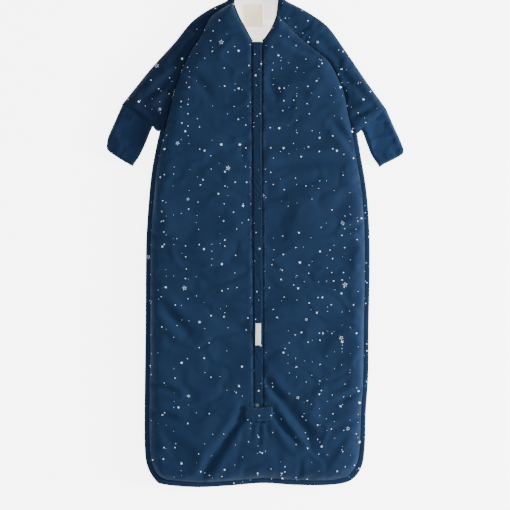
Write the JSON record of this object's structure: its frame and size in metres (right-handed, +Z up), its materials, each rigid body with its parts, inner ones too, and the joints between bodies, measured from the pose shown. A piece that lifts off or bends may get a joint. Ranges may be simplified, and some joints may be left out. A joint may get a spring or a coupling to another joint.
{
  "type": "baby sleeping bag",
  "caption": "Padded sleeping bag for a baby, with raglan sleeves, fold-over mitten cuffs and a concealed two-way zip down the front.",
  "frame": {"origin": "under the middle of the bag, on the surface that it lies on", "axes": "+X towards the wearer's left, +Y from the hem towards the head, +Z up out of the front"},
  "size_m": [0.5428, 0.903, 0.0379],
  "materials": {
    "navy_jersey": "matte",
    "wadding": "matte",
    "lining_jersey": "matte",
    "plain_jersey": "matte",
    "neck_rib": "matte",
    "zip_tape": "matte",
    "zip_teeth": "satin",
    "zip_metal": "satin",
    "flag_tape": "satin",
    "neck_label_tape": "satin",
    "care_tape": "satin"
  },
  "bodies": {
    "bag": {"back_outer": "navy_jersey", "back_wadding": "wadding", "back_lining": "lining_jersey", "front_outer": "navy_jersey", "front_wadding": "wadding", "front_lining": "lining_jersey", "hem_edge": "navy_jersey", "hem_corner_left": "navy_jersey", "hem_corner_right": "navy_jersey", "side_edge_left": "navy_jersey", "side_edge_right": "navy_jersey", "inner_zip_guard": "lining_jersey", "sleeve_left_outer": "navy_jersey", "sleeve_left_wadding": "wadding", "sleeve_left_lining": "lining_jersey", "sleeve_right_outer": "navy_jersey", "sleeve_right_wadding": "wadding", "sleeve_right_lining": "lining_jersey", "cuff_left": "plain_jersey", "cuff_right": "plain_jersey", "neck_binding": "neck_rib", "neck_label": "neck_label_tape", "zip_tape_left": "zip_tape", "zip_tape_right": "zip_tape", "zip_teeth_left": "zip_teeth", "zip_teeth_right": "zip_teeth", "zip_bottom_stop": "zip_metal", "zip_top_stops": "zip_metal"},
    "top_slider": {"top_slider": "zip_metal"},
    "top_pull": {"top_slider_pull": "zip_metal"},
    "bottom_slider": {"bottom_slider": "zip_metal"},
    "bottom_pull": {"bottom_slider_pull": "zip_metal"},
    "zip_cover": {"zip_cover": "navy_jersey"},
    "flag_label": {"flag_label": "flag_tape"},
    "zip_end_patch": {"zip_end_patch": "navy_jersey"},
    "care_label": {"care_label": "care_tape"},
    "mitt_left": {"mitt_flap_left": "plain_jersey"},
    "mitt_right": {"mitt_flap_right": "plain_jersey"}
  },
  "joints": [
    {"name": "top_slider_run", "type": "slide", "parent": "bag", "child": "top_slider", "axis": [0, -1, 0], "range_m": [0, 0.47], "deforming": ["zip_teeth_left", "zip_teeth_right"]},
    {"name": "bottom_slider_run", "type": "slide", "parent": "bag", "child": "bottom_slider", "axis": [0, 1, 0], "range_m": [0, 0.14], "deforming": ["zip_teeth_left", "zip_teeth_right"]},
    {"name": "top_pull_swing", "type": "hinge", "parent": "top_slider", "child": "top_pull", "pos_m": [0, 0.3546, 0.0307], "axis": [-1, 0, 0], "range_deg": [0, 9]},
    {"name": "bottom_pull_swing", "type": "hinge", "parent": "bottom_slider", "child": "bottom_pull", "pos_m": [0, -0.3146, 0.0307], "axis": [1, 0, 0], "range_deg": [0, 9]},
    {"name": "cover_strip_fold", "type": "hinge", "parent": "bag", "child": "zip_cover", "pos_m": [-0.0087, 0, 0.0353], "axis": [0, -1, 0], "range_deg": [0, 110]},
    {"name": "flag_label_lift", "type": "hinge", "parent": "zip_cover", "child": "flag_label", "pos_m": [-0.0067, -0.1695, 0.0356], "axis": [0, -1, 0], "range_deg": [0, 60]},
    {"name": "patch_fold", "type": "hinge", "parent": "bag", "child": "zip_end_patch", "pos_m": [0, -0.3285, 0.0369], "axis": [1, 0, 0], "range_deg": [0, 160]},
    {"name": "care_label_lift", "type": "hinge", "parent": "bag", "child": "care_label", "pos_m": [0.02, 0.43688, 0.01135], "axis": [-1, 0, 0], "range_deg": [0, 120]},
    {"name": "mitt_left_fold", "type": "hinge", "parent": "bag", "child": "mitt_left", "pos_m": [0.227, 0.139, 0.0015], "axis": [-0.8307, -0.5567, 0], "range_deg": [0, 180]},
    {"name": "mitt_right_fold", "type": "hinge", "parent": "bag", "child": "mitt_right", "pos_m": [-0.227, 0.139, 0.0015], "axis": [-0.8307, 0.5567, 0], "range_deg": [0, 180]}
  ]
}
